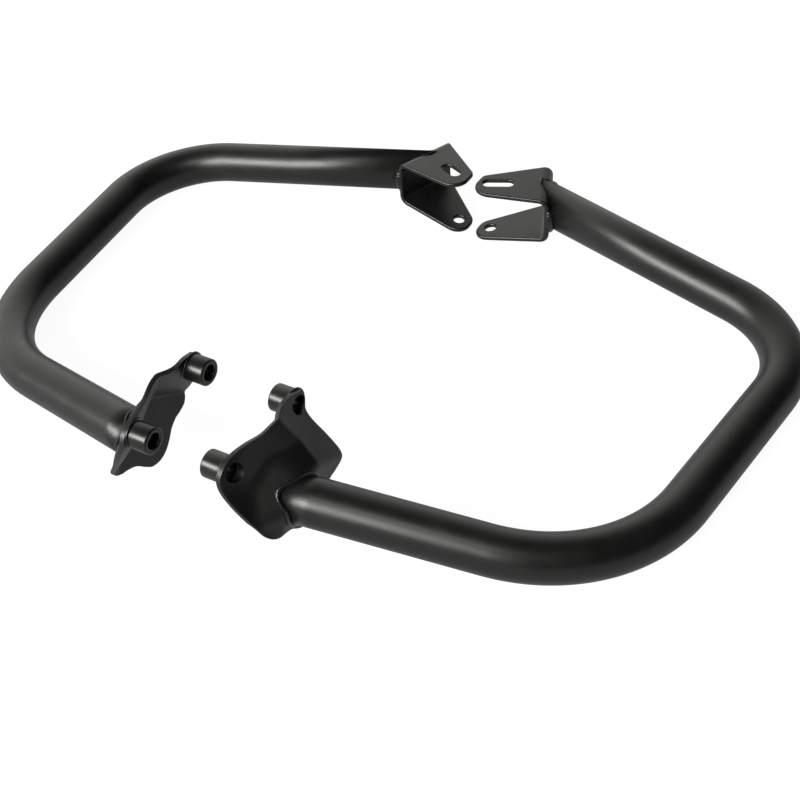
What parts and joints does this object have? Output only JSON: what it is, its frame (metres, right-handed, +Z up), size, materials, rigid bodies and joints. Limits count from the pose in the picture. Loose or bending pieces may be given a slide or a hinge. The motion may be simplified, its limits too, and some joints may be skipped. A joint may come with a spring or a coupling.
{
  "type": "motorcycle crash bars",
  "caption": "Mirrored pair of bent-tube engine guards in black, each with a folded slotted bracket and a formed bolt-on plate with spacers.",
  "frame": {"origin": "centre of the bounding box of the pair, on the floor that the tubes lie on", "axes": "+X across the motorcycle to the picture's right bar, +Y toward the folded brackets, +Z up"},
  "size_m": [0.5882, 0.4217, 0.09],
  "materials": {
    "tube": "satin powder coat",
    "bracket": "satin powder coat",
    "spacer": "semi-gloss",
    "weld": "satin powder coat over weld beads"
  },
  "bodies": {
    "root": {"right_tube": "tube", "right_clevis": "bracket", "right_plate": "bracket", "right_front_spacer": "spacer", "right_rear_spacer": "spacer", "right_clevis_weld": "weld", "right_plate_weld": "weld", "right_front_spacer_weld": "weld", "right_rear_spacer_weld": "weld", "left_tube": "tube", "left_clevis": "bracket", "left_plate": "bracket", "left_front_spacer": "spacer", "left_rear_spacer": "spacer", "left_clevis_weld": "weld", "left_plate_weld": "weld", "left_front_spacer_weld": "weld", "left_rear_spacer_weld": "weld"}
  },
  "joints": []
}
